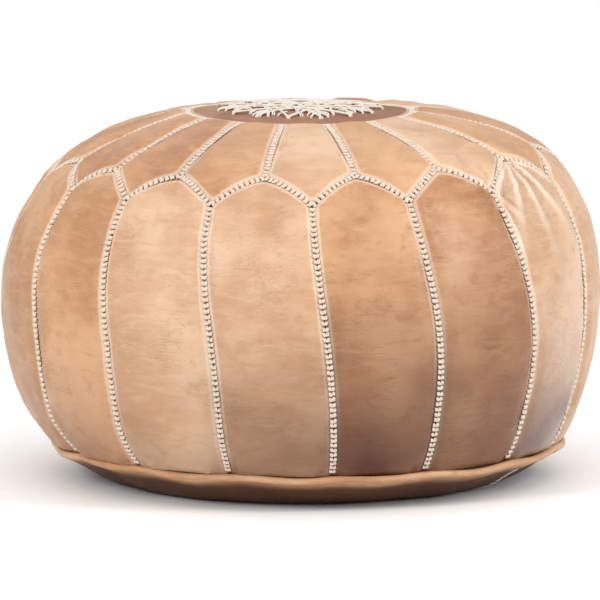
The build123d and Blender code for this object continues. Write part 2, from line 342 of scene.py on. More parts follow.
class Nodes:
    """A short way to lay out the nodes of a material or of the world."""

    def __init__(self, owner):
        self.owner = owner
        owner.use_nodes = True
        self.tree = owner.node_tree

    def add(self, kind, values=None, **settings):
        node = self.tree.nodes.new(kind)
        for key, value in settings.items():
            setattr(node, key, value)
        for key, value in (values or {}).items():
            self.put(node.inputs[key], value)
        return node

    def put(self, socket, value):
        if isinstance(value, bpy.types.NodeSocket):
            self.tree.links.new(value, socket)
        else:
            socket.default_value = value

    def mix(self, factor, first, second):
        node = self.add("ShaderNodeMix", data_type="RGBA", clamp_factor=True)
        for socket, value in ((0, factor), (6, first), (7, second)):
            self.put(node.inputs[socket], value)
        return node.outputs[2]

    def math(self, operation, first, second=0.0):
        node = self.add("ShaderNodeMath", operation=operation)
        self.put(node.inputs[0], first)
        self.put(node.inputs[1], second)
        return node.outputs[0]

    def times(self, first, second):
        return self.math("MULTIPLY", first, second)

    def ramp(self, value, low, high, to_low=0.0, to_high=1.0):
        node = self.add("ShaderNodeMapRange", clamp=True, interpolation_type="SMOOTHSTEP")
        for socket, number in zip(node.inputs, (value, low, high, to_low, to_high)):
            self.put(socket, number)
        return node.outputs[0]

    def position(self, shift=(0, 0, 0), scale=(1, 1, 1), turn=(0, 0, 0)):
        where = self.add("ShaderNodeTexCoord").outputs["Object"]
        mapping = self.add("ShaderNodeMapping", {"Location": shift, "Scale": scale, "Rotation": turn})
        self.put(mapping.inputs["Vector"], where)
        return mapping.outputs[0]

    def noise(self, where, scale, detail=3.0, roughness=0.55, distortion=0.0):
        values = {"Vector": where, "Scale": scale, "Detail": detail, "Roughness": roughness,
                  "Distortion": distortion}
        return self.add("ShaderNodeTexNoise", values).outputs[0]

    def cells(self, where, scale):
        return self.add("ShaderNodeTexVoronoi", {"Vector": where, "Scale": scale}).outputs["Distance"]

    def attribute(self, name):
        return self.add("ShaderNodeAttribute", attribute_name=name).outputs["Fac"]

    def bump(self, height, distance, strength, normal=None):
        values = {"Height": height, "Distance": distance, "Strength": strength}
        if normal is not None:
            values["Normal"] = normal
        return self.add("ShaderNodeBump", values).outputs[0]

    def set(self, **values):
        shader = self.tree.nodes["Principled BSDF"]
        for key, value in values.items():
            self.put(shader.inputs[key.replace("_", " ")], value)
        return self.owner


def rgb(*srgb):
    """A colour given as 0 to 255 sRGB, as linear RGBA."""
    linear = [(v / 255 / 12.92) if v <= 10 else ((v / 255 + 0.055) / 1.055) ** 2.4 for v in srgb]
    return (*linear, 1.0)


def leather(name, body, dark, light, shift=0.0, roughness=0.42, grain=1.0, turn=0.0, flush=None,
            coat=0.18, shine=0.36, foot_colour=None):
    """Vegetable-tanned goat leather: mottled colour, streaks, pores, grain and fine creases, with painted
    shade in the seams' grooves and at the foot and painted highlight on crests.
    """
    n = Nodes(bpy.data.materials.new(name))
    place = (shift * 1.7, shift * 0.9, shift * 2.3)
    where = n.position(place)
    streaky = n.position(place, (1, 1, 3.5), (0.5, turn, 0.3))
    blotch = n.noise(where, 9, 3, 0.55, 0.3)
    streak = n.noise(streaky, 30, 5, 0.65, 0.8)
    cloud = n.noise(where, 55, 4, 0.6)
    marks = [
        (n.ramp(streak, 0.45, 0.7, 0.0, 0.5), light),
        (n.ramp(streak, 0.3, 0.45, 0.45, 0.0), dark),
        (n.ramp(cloud, 0.52, 0.74, 0.0, 0.6), dark),
    ]
    if flush is not None:
        marks.append((n.ramp(n.noise(where, 5.5, 2), 0.45, 0.7, 0, 0.6), flush))

    def cracks(stretch, turns, scale, detail, distortion, width, patches, first, last):
        """Thin dark lines where a stretched noise crosses its middle value, in patches."""
        noise = n.noise(n.position(place, (1, 1, stretch), turns), scale, detail, 0.5, distortion)
        line = n.ramp(n.math("ABSOLUTE", n.math("SUBTRACT", noise, 0.5)), 0.0, width, 1.0, 0.0)
        return n.times(line, n.ramp(n.noise(where, patches, 2), first, last))

    scar = cracks(7, (1.1, 0.5, turn), 34, 2, 1.6, 0.012, 23, 0.5, 0.62)
    line = cracks(2.6, (0.4, 1.1 + turn, 0.9), 130, 3, 1.2, 0.035, 14, 0.48, 0.66)
    pores = n.ramp(n.cells(where, 420), 0.0, 0.16, 1.0, 0.0)
    sparse = n.ramp(n.noise(where, 60, 2), 0.5, 0.68)
    rim = n.attribute("rim")
    crest = n.times(n.ramp(rim, 0.0, 0.08), n.ramp(rim, 0.1, 0.35, 1.0, 0.0))
    marks += [
        (n.times(scar, 0.2), dark),
        (n.times(line, 0.16), dark),
        (n.times(n.times(pores, sparse), 0.4), dark),
        # painted shade: the rolled edges darken down into the seams' grooves and the medallion's border dip
        (n.ramp(rim, 0.3, 0.95, 0.0, 0.85), dark),
        # painted highlight along the rolled edges' crests, partly rubbed leather
        (n.times(crest, 0.42), RUBBED_AND_HIGHLIGHT),
        # painted highlight on the folded panel's fold crests, partly rubbed leather
        (n.times(n.attribute("rub"), 0.75), RUBBED_AND_HIGHLIGHT),
        # darker towards the foot: partly darker leather and partly painted shade, on the base painted shade
        (n.times(n.attribute("low"), 0.92), foot_colour or DARKER_FOOT_AND_SHADE),
    ]
    colour = n.mix(0.25, n.mix(n.ramp(blotch, 0.36, 0.64), dark, light), body)
    for share, tone in marks:
        colour = n.mix(share, colour, tone)
    gloss = n.ramp(n.noise(where, 30, 4), 0.3, 0.7, roughness - 0.07, roughness + 0.1)
    pebble = n.cells(where, 620)
    wrinkle = n.noise(where, 240, 6, 0.65, 0.5)
    height = n.math("ADD", n.times(pebble, 0.35), n.times(wrinkle, 0.9))
    normal = n.bump(height, 0.0004 * grain, 0.6)
    cut = n.math("SUBTRACT", 1.0, n.math("MAXIMUM", scar, n.times(line, 0.6)))
    normal = n.bump(cut, 0.0006, 0.6, normal)
    soft = n.noise(streaky, 75, 5, 0.6, 0.6)
    normal = n.bump(soft, 0.0018 * grain, 0.4, normal)
    return n.set(Base_Color=colour, Roughness=gloss, Specular_IOR_Level=shine, Coat_Weight=coat,
                 Coat_Roughness=0.3, Normal=normal)


def thread(name, colour, shade, roughness=0.75):
    """Cream cotton thread: fine fibres, a little grime and a soft sheen."""
    n = Nodes(bpy.data.materials.new(name))
    where = n.position()
    fibre = n.noise(where, 2600, 4, 0.7, 1.0)
    grime = n.noise(where, 55, 4, 0.6)
    tint = n.mix(n.ramp(fibre, 0.35, 0.7, 0.0, 0.45), colour, shade)
    tint = n.mix(n.ramp(grime, 0.55, 0.8, 0.0, 0.35), tint, shade)
    rough = n.ramp(fibre, 0.3, 0.7, roughness - 0.08, roughness + 0.1)
    normal = n.bump(fibre, 0.00025, 0.7)
    return n.set(Base_Color=tint, Roughness=rough, Sheen_Weight=0.25, Sheen_Roughness=0.5, Normal=normal)


def cotton(name, colour, shade, weave=900):
    """Plain-woven cotton, for the bag, the tapes and the wadding."""
    n = Nodes(bpy.data.materials.new(name))
    where = n.position()
    warp = n.noise(n.position(scale=(1, 1, 0.15)), weave, 2, 0.5)
    weft = n.noise(n.position(scale=(0.15, 0.15, 1)), weave, 2, 0.5)
    cloth = n.math("ADD", warp, weft)
    slub = n.noise(where, 80, 4, 0.6)
    tint = n.mix(n.ramp(cloth, 0.8, 1.2, 0.0, 0.6), shade, colour)
    tint = n.mix(n.ramp(slub, 0.5, 0.8, 0.0, 0.3), tint, shade)
    rough = n.ramp(slub, 0.3, 0.7, 0.8, 0.95)
    return n.set(Base_Color=tint, Roughness=rough, Normal=n.bump(cloth, 0.0004, 0.8))


def brass(name, colour, dull, roughness):
    """Antiqued brass: tarnish in patches and fine rubbing."""
    n = Nodes(bpy.data.materials.new(name))
    where = n.position()
    patch = n.noise(where, 260, 5, 0.65)
    rub = n.noise(n.position(scale=(1, 1, 8)), 1800, 3, 0.6)
    tint = n.mix(n.ramp(patch, 0.4, 0.7), colour, dull)
    rough = n.ramp(patch, 0.3, 0.75, roughness, roughness + 0.25)
    return n.set(Base_Color=tint, Metallic=1.0, Roughness=rough, Normal=n.bump(rub, 0.0001, 0.5))


CREAM, CREAM_SHADE = rgb(225, 212, 196), rgb(166, 143, 120)
# pale colour on crests and folds: partly rubbed leather, partly painted highlight
RUBBED_AND_HIGHLIGHT = rgb(240, 218, 197)
# dark colours mixed in towards the foot: on the side panels partly darker leather and partly painted shade,
# on the base painted shade
DARKER_FOOT_AND_SHADE, BASE_PAINTED_SHADE = rgb(80, 37, 14), rgb(66, 33, 14)
# each hide's usual colour, and its darker and lighter patches
HIDES = {
    "golden": ((196, 150, 107), (178, 130, 88), (207, 164, 123)),
    "tan": ((190, 143, 102), (168, 119, 80), (203, 158, 119)),
    "blush": ((205, 165, 130), (186, 142, 106), (214, 179, 147)),
    "honey": ((188, 139, 98), (162, 110, 72), (202, 156, 116)),
    "sand": ((199, 157, 122), (178, 134, 98), (208, 171, 138)),
    "welt": ((194, 147, 108), (172, 124, 86), (206, 164, 128)),
    "base": ((186, 139, 100), (162, 114, 76), (200, 157, 120)),
    "plum": ((158, 110, 78), (128, 80, 52), (172, 127, 96)),
}
HIDES = {name: [rgb(*colour) for colour in colours] for name, colours in HIDES.items()}
# the hide that each panel is cut from, anticlockwise from the front
SIDE_HIDES = """honey honey sand blush golden tan blush honey
    tan golden honey tan tan tan blush sand""".split()
TOP_HIDES = """blush golden blush golden tan blush golden honey
    tan golden honey tan honey honey honey tan""".split()
# how much each side panel is darkened at its foot, partly darker leather and partly painted shade,
# strongest on the front right panels away from the key lamp, and the heights where that starts and is
# complete
SIDE_DARKER_FOOT_AND_SHADE = [1.0, 1.0, 1.0, 0.4, 0.3, 0.5, 0.6, 0.4, 0.3, 0.5, 0.4, 0.3, 0.3, 0.35, 0.6, 0.8]
FOOT_DARKENING_TOP, FOOT_DARKENING_FULL = 0.2, 0.03
HIGH_FOOT_DARKENING_TOP = {0: 0.29, 1: 0.31}  # on the two darkest panels


# ---------------- the panels' shape

def roll_quota(distance, width):
    """1 at a seam, easing to 0 at width from it as a rolled edge does."""
    reach = np.clip(distance / width, 0, 1)
    return 1 - np.sqrt(np.clip(1 - (1 - reach) ** 2, 0, 1))


def spread(width, count, roll):
    """Distances across a width, close together in the rolled edges: width may be an array."""
    width = np.asarray(width, float)[..., None]
    roll = np.minimum(roll, 0.3 * width)
    left = SEAM_GAP + roll * (1 - np.cos(np.linspace(0, math.pi / 2, EDGE_STEPS + 1)[:-1]))
    middle = np.linspace(0, 1, count - 2 * EDGE_STEPS)
    centre = SEAM_GAP + roll + (width - 2 * roll - 2 * SEAM_GAP) * middle
    return np.concatenate([left, centre, (width - left)[..., ::-1]], axis=-1)


class Panel:
    """One leather panel, and where a grid of its points lies on the cover."""

    def __init__(self, name, first_seam, top, rows, columns):
        self.name, self.first, self.top = name, first_seam, top
        self.rows, self.columns = rows, columns

    def limits(self, across):
        """Where the panel starts and ends along the cover, at a share of its width."""
        arch = arch_along(self.first + across)
        if self.top:
            return np.zeros_like(arch), arch
        return arch, np.full_like(arch, END)

    def fine_grid(self):
        """Shares across and down the panel for a grid that is dense in the rolled edges."""
        start, end = self.limits(np.array([0.5]))
        length = (end - start)[0]
        down = spread(length, self.rows, ROLL * 1.2) / length
        width = pitch_width(start[0] + length * down)
        across = spread(width, self.columns, ROLL) / width[:, None]
        return across, np.repeat(down[:, None], self.columns, axis=1)

    def surface(self, across, down):
        """Seam coordinate, distance along and the share of the roll, for shares of the panel."""
        start, end = self.limits(across)
        along = start + (end - start) * down
        sides = np.minimum(across, 1 - across) * pitch_width(along)
        slant = 0.8  # from a distance along the panel to one square to the sloping arch
        first = (along - start) * (1.0 if self.top else slant)
        last = (end - along) * (slant if self.top else 1.0)
        keep = np.prod([1 - roll_quota(distance, ROLL) for distance in (sides, first, last)], axis=0)
        return self.first + across, along, 1 - keep, np.minimum(np.minimum(sides, first), last)

    def rest_height(self, along, roll):
        """Height of the leather before it swells: sunk at its seams, less so behind the welt."""
        sunk = -SWELL - GROOVE * roll
        if self.top:
            return sunk
        behind = roll_quota(END - along, 14 * MM)
        return sunk + (SWELL + 0.7 * GROOVE * roll) * behind


def all_panels():
    made = []
    for i in range(PANELS):
        made.append(Panel(f"top_panel_{i + 1:02d}", i - 0.5, True, 70, 36))
        made.append(Panel(f"side_panel_{i + 1:02d}", i, False, 150, 46))
    return made


PUFF_ROWS, PUFF_COLUMNS = 35, 17  # the simulated grid of each panel
CLOTH = {
    "quality": 6, "mass": 0.6, "tension_stiffness": 40, "compression_stiffness": 30,
    "shear_stiffness": 20, "bending_stiffness": 2.5, "air_damping": 4, "use_pressure": True,
    "uniform_pressure_force": 6, "vertex_group_mass": "pins", "vertex_group_shrink": "loose",
    "shrink_min": -0.002, "shrink_max": -0.022,
}
SWELL_STEPS = 30


def plain_puff(across, down):
    """The swell without a simulation: zero at the seams and full in the middle."""
    return SWELL * np.sin(math.pi * across) ** 0.8 * np.sin(math.pi * down) ** 0.55


def simulate_swell(panels):
    """Blows all the panels up at once as leather held at its seams, and keeps how each swells."""
    across, down = np.meshgrid(np.linspace(0, 1, PUFF_COLUMNS), np.linspace(0, 1, PUFF_ROWS))
    points, faces, held, slack = [], [], [], []
    per_panel = PUFF_ROWS * PUFF_COLUMNS
    edge = np.pad(np.zeros((PUFF_ROWS - 2, PUFF_COLUMNS - 2), bool), 1, constant_values=True)
    for number, panel in enumerate(panels):
        seam, along, roll, _ = panel.surface(across, down)
        place = cover_point(seam, along, panel.rest_height(along, roll))
        points.append(place.reshape(-1, 3))
        faces.append(grid_faces(PUFF_ROWS, PUFF_COLUMNS) + number * per_panel)
        held.append(np.flatnonzero(edge.ravel()) + number * per_panel)
        loose = 0.5 + 0.5 * layered_noise(place, 0.09, 5, 2)
        slack.append(np.clip(loose, 0, 1).ravel())
    rest = np.concatenate(points)
    mesh = bpy.data.meshes.new("swell")
    mesh.from_pydata(rest.tolist(), [], np.concatenate(faces).tolist())
    blown = add_object("swell", mesh)
    pins = blown.vertex_groups.new(name="pins")
    pins.add(np.concatenate(held).tolist(), 1.0, "REPLACE")
    loose = blown.vertex_groups.new(name="loose")
    for index, weight in enumerate(np.concatenate(slack)):
        loose.add([index], float(weight), "REPLACE")
    cloth = blown.modifiers.new("swell", "CLOTH")
    cloth.settings.effector_weights.gravity = 0
    for name, value in CLOTH.items():
        setattr(cloth.settings, name, value)
    scene = bpy.context.scene
    for step in range(1, SWELL_STEPS + 1):
        scene.frame_set(step)
    shown = blown.evaluated_get(bpy.context.evaluated_depsgraph_get())
    end = np.empty(len(rest) * 3)
    shown.data.vertices.foreach_get("co", end)
    moved = (end.reshape(-1, 3) - rest).reshape(len(panels), PUFF_ROWS, PUFF_COLUMNS, 3)
    scene.frame_set(1)
    bpy.data.objects.remove(blown)
    bpy.data.meshes.remove(mesh)
    return moved


def bicubic(values, across, down):
    """Values on the coarse grid, read smoothly at other shares of the panel."""
    rows, columns = values.shape[:2]
    y, x = down * (rows - 1), across * (columns - 1)
    i, j = np.floor(y).astype(int), np.floor(x).astype(int)
    fy, fx = y - i, x - j

    def weights(f):
        return [((-f + 2) * f - 1) * f / 2, ((3 * f - 5) * f * f + 2) / 2,
                ((-3 * f + 4) * f + 1) * f / 2, (f - 1) * f * f / 2]

    total = 0
    for a, wy in enumerate(weights(fy)):
        for b, wx in enumerate(weights(fx)):
            row = np.clip(i + a - 1, 0, rows - 1)
            column = np.clip(j + b - 1, 0, columns - 1)
            total = total + (wy * wx)[..., None] * values[row, column]
    return total


def head_folds(seam, along):
    """Folds that spread down from the peak of an arch, from -1 to 1, and die out away from it."""
    x, away = (seam - np.floor(seam) - 0.5) * pitch_width(along), along - PEAK
    reach = np.hypot(x, away) + 1e-6
    return np.cos(np.arctan2(x, away) * 15 + 0.8) * np.exp(-reach / (38 * MM)) * smooth(reach / (12 * MM))


def creases(panel, seam, along, sides):
    """Small folds of the leather: puckers at the seams, and rays from the arches' feet and peaks."""
    whole = np.round(seam)
    x = (seam - whole) * pitch_width(along)
    pull = lattice_noise(np.stack([seam * 3, along / 0.016, whole], -1), 1.0, 3)
    fall = 0.9 * MM * pull * np.exp(-sides / (9 * MM)) * smooth(sides / (3 * MM))
    away = along - VALLEY
    reach = np.hypot(x, away) + 1e-6
    angle = np.arctan2(x, away)
    rays = np.cos(angle * 13 + whole * 2.1) * np.exp(-reach / (26 * MM)) * smooth(reach / (8 * MM))
    fall += (0.8 + 1.6 * (whole == 2)) * MM * rays
    if not panel.top:
        fall += (0.4 + 2.2 * (panel.name == FOLDED_PANEL)) * MM * head_folds(seam, along)
    fall += 0.25 * MM * np.cos(2 * math.pi * along / STITCH) * np.exp(-sides / (5 * MM))
    if panel.top:
        inner = np.exp(-(((along - 10 * MM) / (7 * MM)) ** 2))
        front = 0.5 - 0.5 * np.sin(np.radians(seam_azimuth(seam, along)))
        fall += END_BULGE * inner * smooth(sides / (10 * MM)) * front
    return fall


def build_panel(panel, moved):
    """One panel's leather: its rolled edges, its swell and its creases. moved is how it swells."""
    across, down = panel.fine_grid()
    seam, along, roll, sides = panel.surface(across, down)
    flat = cover_point(seam, along, panel.rest_height(along, roll))
    normal = cover_point(seam, along, 1.0) - cover_point(seam, along, 0.0)
    if moved is None:
        swell = normal * plain_puff(across, down)[..., None]
    else:
        swell = bicubic(moved, across, down)
    lump = 1.1 * MM * layered_noise(flat, 0.075, 21, 3) + 0.35 * MM * layered_noise(flat, 0.02, 31, 2)
    if panel.top:
        lump = lump * smooth(along / (70 * MM))
    detail = (lump + creases(panel, seam, along, sides)) * (1 - roll) ** 0.5
    place = flat + swell + normal * detail[..., None]
    index = int(panel.name[-2:]) - 1
    hide = HIDES[(TOP_HIDES if panel.top else SIDE_HIDES)[index]]
    glossy = panel.name == FOLDED_PANEL
    skin = leather(panel.name + "_leather", *hide, shift=rng.uniform(-3, 3), turn=rng.uniform(-0.6, 0.6),
                   roughness=0.3 if glossy else 0.42, coat=0.8 if glossy else 0.18)
    slot = "top_leather" if panel.top else "side_leather"
    faces = grid_faces(*along.shape).tolist()
    # the foot darkens, partly darker leather and partly painted shade
    darkening_top = HIGH_FOOT_DARKENING_TOP.get(index, FOOT_DARKENING_TOP)
    low = smooth((darkening_top - place[..., 2]) / (darkening_top - FOOT_DARKENING_FULL))
    low *= 0.8 + 0.3 * layered_noise(flat, 0.06, 77, 2)
    darker_foot_and_shade_share = 0.0 if panel.top else SIDE_DARKER_FOOT_AND_SHADE[index]
    # painted highlight on the head folds' crests, partly rubbed leather
    rub = smooth(head_folds(seam, along) * 3) * glossy
    piece = mesh_object(panel.name, place, faces, skin, slot, rim=roll, low=low * darker_foot_and_shade_share, rub=rub)
    solidify(piece, LEATHER)
    sides = np.cross(place[1:, :-1] - place[:-1, :-1], place[:-1, 1:] - place[:-1, :-1])


def build_cover():
    """All the panels of the cover, blown up together before each is made."""
    panels = all_panels()
    moved = [None] * len(panels)
    swell = simulate_swell(panels)
    size = np.linalg.norm(swell[:, PUFF_ROWS // 2, PUFF_COLUMNS // 2], axis=1)
    swell *= SWELL / size.mean()
    moved = list(swell)
    for panel, shift in zip(panels, moved):
        build_panel(panel, shift)


# ---------------- braids

def plait(place, normal, tangent, half_width=BRAID_HALF_W):
    """A plaited lacing over a seam: each stitch is a V of two plump strands, each of two threads.
    The arrays give the stitches' middles, normals and tangents."""
    side = np.cross(normal, tangent)
    count = len(place)
    t = np.linspace(0, 1, 8)
    swing = t**1.4
    fat = THREAD_R * (1 - 0.3 * np.abs(2 * t - 1) ** 3)
    paths, radii = [], []

    def uneven(amount):
        return rng.normal(0, amount, (count, 1))

    for hand in (-1, 1):
        outer = half_width * (0.66 + uneven(0.05))
        inner = half_width * (0.36 + uneven(0.05))
        length = STITCH * (0.66 + uneven(0.03))
        slip = uneven(0.05 * STITCH)
        high = BRAID_RISE * (1 + uneven(0.1))
        for thread in (-1, 1):
            across = hand * (outer * (1 - swing) + inner * swing)
            across = across + thread * 0.85 * THREAD_R * (1 - 0.45 * (2 * t - 1) ** 2)
            along = slip + length * (t - 0.5)
            lift = high * np.sin(math.pi * t) ** 0.6 - 0.35 * MM
            moves = ((side, across), (normal, lift), (tangent, along))
            paths.append(place[:, None] + sum(way[:, None] * far[..., None] for way, far in moves))
            radii.append(fat * (1 + uneven(0.06)))
    return np.concatenate(paths), np.concatenate(radii)


def cover_path(seams, alongs):
    """The stitches along a seam of the cover, from samples of its seam coordinate and distance down."""
    points = cover_point(seams, alongs, -BRAID_DEPTH)
    normals = unit(cover_point(seams, alongs, -BRAID_DEPTH + MM) - points)
    length = np.concatenate([[0], np.cumsum(np.linalg.norm(np.diff(points, axis=0), axis=1))])

    def read(values, where):
        return np.stack([np.interp(where, length, column) for column in values.T], -1)

    count = max(int(round(length[-1] / STITCH)), 1)
    where = (np.arange(count) + 0.5) * length[-1] / count
    tangent = unit(read(points, where + 0.5 * MM) - read(points, where - 0.5 * MM))
    normal = read(normals, where)
    normal -= tangent * np.sum(normal * tangent, axis=1, keepdims=True)
    return read(points, where), unit(normal), tangent


def build_braids(material):
    """The plaits over the side seams, the ring of arches and the top seams."""
    side, arch, top = [], [], []
    for i in range(PANELS):
        down = np.linspace(VALLEY + 1.2 * MM, END - 6.0 * MM, 160)
        side.append(plait(*cover_path(np.full_like(down, i), down)))
        for first in (i, i + 0.5):
            seams = np.linspace(first, first + 0.5, 60)
            arch.append(plait(*cover_path(seams, arch_along(seams)), BRAID_HALF_W * 0.92))
        up = np.linspace(2.0 * MM, PEAK - 1.2 * MM, 90)
        seams = np.full_like(up, i + 0.5)
        top.append(plait(*cover_path(seams, up), BRAID_HALF_W * 0.9))
    for name, parts in (("side_seam_braids", side), ("arch_seam_braid", arch), ("top_seam_braids", top)):
        paths, radii = (np.concatenate(arrays) for arrays in zip(*parts))
        tube_object(name, paths, radii, material, "braid_thread")


# ---------------- medallion

def dome_height(x, y):
    """Height of the medallion's face: a shallow, uneven dome that dips into the seam round it."""
    radius = np.hypot(x, y)
    rim = OUTLINE[2, 0] - 3.4 * MM
    share = np.clip(radius / MEDALLION_R, 0, 1)
    dip = 2.2 * MM * roll_quota(MEDALLION_R - radius, 7 * MM)
    lump = layered_noise(np.stack([x, y, 0 * x], -1), 0.05, 41, 3)
    lump *= smooth((MEDALLION_R - radius) / (12 * MM))
    droop = BACK_DROOP * smooth(y / MEDALLION_R)
    return rim + DOME_RISE * (1 - share**2) - dip + 0.6 * MM * lump - droop


def build_medallion():
    """The domed disc of leather in the middle of the top."""
    rings, steps = 60, 128
    radius = (MEDALLION_R - 0.3 * MM) * np.sin(np.linspace(0.02, math.pi / 2, rings))
    r, a = np.meshgrid(radius, circle(steps), indexing="ij")
    x, y = r * np.cos(a), r * np.sin(a)
    place = np.stack([x, y, dome_height(x, y)], -1)
    rim = roll_quota(MEDALLION_R - r, 7 * MM)
    faces = grid_faces(rings, steps, closed=True).tolist()
    faces.append(list(range(steps)))
    skin = leather("medallion_leather", *HIDES["plum"], shift=0.8, roughness=0.48, flush=rgb(140, 84, 56),
                   coat=0.1, shine=0.3)
    # rim paints shade where the dome dips into the seam round it
    disc = mesh_object("medallion_disc", place, faces, skin, "medallion_leather", rim=rim)
    solidify(disc, LEATHER)


def strand(first, last, lift):
    """One stitch of the star between two points given as radius and azimuth, over the dome."""
    ends = [np.array(polar((0, 0), radius, azimuth)) for radius, azimuth in (first, last)]
    length = np.linalg.norm(ends[1] - ends[0])
    dive = min(2.0 * MM / length, 0.2)
    share = np.concatenate([[0, dive / 3], np.linspace(dive, 1 - dive, 11), [1 - dive / 3, 1]])
    flat = ends[0] + (ends[1] - ends[0]) * share[:, None]
    sunk = 1 - smooth(np.minimum(share, 1 - share) / dive)
    z = dome_height(flat[:, 0], flat[:, 1]) + lift * (1 - sunk) + STAR_THREAD_R * (0.8 - 1.9 * sunk)
    return np.concatenate([flat, z[:, None]], axis=1)


def bundle(first, last, width, lift, threads=2):
    """Parallel stitches side by side between two points, slightly uneven."""
    made = []
    for thread in range(threads):
        shift = (thread - (threads - 1) / 2) * width
        ends = []
        for r, a in (first, last):
            wobble = rng.normal(0, 0.35 * MM, 2)
            ends.append((r + wobble[0], a + math.degrees((shift + wobble[1]) / max(r, 12 * MM))))
        made.append(strand(ends[0], ends[1], lift + rng.uniform(0, 0.25) * MM))
    return made


# the star's rings: radius in mm, places skipped, turn in degrees, lift in mm, and threads in each bundle
STAR_RINGS = ((76, 3, 0, 1.3, 2), (60, 3, 22.5, 0.4, 2), (50, 2, 22.5, 0.9, 1), (42, 3, 5, 1.8, 2),
              (24, 3, 9, 2.2, 2))


def star_polygon(radius, skip, start, lift, threads):
    """Straight bundles from each point of a star to the one skip places round."""
    made = []
    for azimuth in start + 45 * np.arange(8):
        first, last = (radius, azimuth), (radius, azimuth + 45 * skip)
        made += bundle(first, last, 1.9 * STAR_THREAD_R, lift, threads)
    return made


def palmette(azimuth, tip, lift):
    """A small fan of stitches between two of the star's long points."""
    made = []
    for side, extra in ((-1, 0), (1, 0.4 * MM)):
        ends = (tip - 26 * MM, azimuth + side * 5), (tip, azimuth - side * 1.2)
        made += bundle(*ends, 1.6 * STAR_THREAD_R, lift + extra)
    for side in (-1, 1):
        for step in range(2):
            root = (tip - (18 + 9 * step) * MM, azimuth + side * 1.5)
            leaf = (tip - (5 + 7.5 * step) * MM, azimuth + side * (6.5 + 2.2 * step))
            made += bundle(root, leaf, 1.7 * STAR_THREAD_R, lift + 0.3 * MM)
    return made


def build_star(material):
    """The star: eight long points of crossed bundles, with a small fan between each two."""
    long_start = SIDE_SEAM + PITCH / 2 + TWIST_TOP - 22.5
    paths = []
    for radius, skip, turn, lift, threads in STAR_RINGS:
        paths += star_polygon(radius * MM, skip, long_start + turn, lift * MM, threads)
    for point in long_start + 45 * np.arange(8):
        paths += palmette(point + 22.5, rng.uniform(75, 78) * MM, 0.4 * MM)
        for side in (-1, 1):
            ends = (50 * MM, point + side * 5), (66 * MM, point + side * 9.5)
            paths += bundle(*ends, 1.7 * STAR_THREAD_R, 0.5 * MM)
    paths = np.array(paths)
    share = np.linspace(-1, 1, paths.shape[1])
    radii = STAR_THREAD_R * (1 - 0.3 * np.abs(share) ** 6) * np.ones((len(paths), 1))
    tube_object("medallion_embroidery", paths, radii, material, "embroidery_thread")


def build_border(material):
    """The plait round the medallion."""
    count = int(round(2 * math.pi * MEDALLION_R / STITCH))
    a = (np.arange(count) + 0.5) * 2 * math.pi / count
    z = OUTLINE[2, 0] - BRAID_DEPTH - 1.1 * MM - BACK_DROOP * smooth(np.sin(a))
    up = np.tile((0.0, 0.0, 1.0), (count, 1))
    tangent = np.stack([-np.sin(a), np.cos(a), 0 * a], -1)
    paths, radii = plait(round_axis(MEDALLION_R, a, z), up, tangent, BRAID_HALF_W * 0.92)
    tube_object("medallion_border_braid", paths, radii, material, "braid_thread")


# ---------------- base

def welt_wave(turn):
    """How the base's rolled edge rises at the seams, and wanders, round the pouf: up and out."""
    ring = round_axis(WELT_R, turn, 0.0)
    wave = np.cos(PANELS * (turn - np.radians(seam_azimuth(0, END))))
    up = 0.9 * MM * wave + 1.1 * MM * layered_noise(ring, 0.06, 51, 3)
    out = -0.5 * MM * wave + 0.7 * MM * layered_noise(ring, 0.045, 61, 2)
    return up, out


def build_welt():
    """The rolled edge of the base, drawn up a little at each seam."""
    steps, sides = 640, 20
    turn = circle(steps)
    up, out = welt_wave(turn)
    ring = round_axis(WELT_R, turn, 0.0)
    t, a = np.meshgrid(turn, circle(sides), indexing="ij")
    fat = WELT_RADIUS * (1 + 0.08 * layered_noise(ring, 0.03, 71, 2))[:, None]
    crease = 0.3 * MM * lattice_noise(np.stack([np.cos(t) * 40, np.sin(t) * 40, a], -1), 0.6, 81)
    reach = WELT_R + out[:, None] + fat * np.cos(a) + crease
    height = WELT_Z + up[:, None] + fat * np.sin(a)
    place = round_axis(reach, t, height) + (BASE_SHIFT, 0, 0)
    faces = grid_faces(steps, sides, closed=True)
    wrap = np.arange(sides)
    last = (steps - 1) * sides
    seal = np.stack([last + wrap, wrap, (wrap + 1) % sides, last + (wrap + 1) % sides], -1)
    skin = leather("welt_leather", *HIDES["welt"], shift=2.2, roughness=0.45, grain=1.2)
    mesh_object("base_welt", place, np.concatenate([faces, seal]).tolist(), skin, "welt_leather")


def base_profile():
    """Radius and height of the base from the floor out to the welt: full at the foot, then hollow."""
    r = np.array([0, 166, 174, 182, 190, 198, 205, 211, 217, 223, 228, 231, 240]) * MM
    z = np.array([0, 0, 0.3, 1.6, 4.4, 8.8, 13.4, 17.4, 20.8, 23.6, 25.8, 27.6, 30]) * MM
    fine = np.linspace(0, 240 * MM, 961)
    return fine, np.convolve(np.pad(np.interp(fine, r, z), 12, "edge"), np.ones(25) / 25, "valid")


BASE_PROFILE = base_profile()


def base_height(radius):
    """Height of the base's outer face at a radius."""
    dish = DISH_Z * smooth((FOOT_INNER_R - radius) / (FOOT_INNER_R - DISH_R + 6 * MM))
    return np.where(radius > FOOT_INNER_R, np.interp(radius, *BASE_PROFILE), dish)


def slipped(xy, radius):
    """Points of the base moved with the slipped welt, except round the zip."""
    moved = xy.copy()
    moved[..., 0] += BASE_SHIFT * smooth((radius - 145 * MM) / (60 * MM))
    return moved


def zip_plane(u, v):
    """Points given along and across the zip, as x and y."""
    turn = math.radians(ZIP_AZIMUTH)
    along, across = np.array([math.cos(turn), math.sin(turn)]), np.array([-math.sin(turn), math.cos(turn)])
    return u[..., None] * along + v[..., None] * across


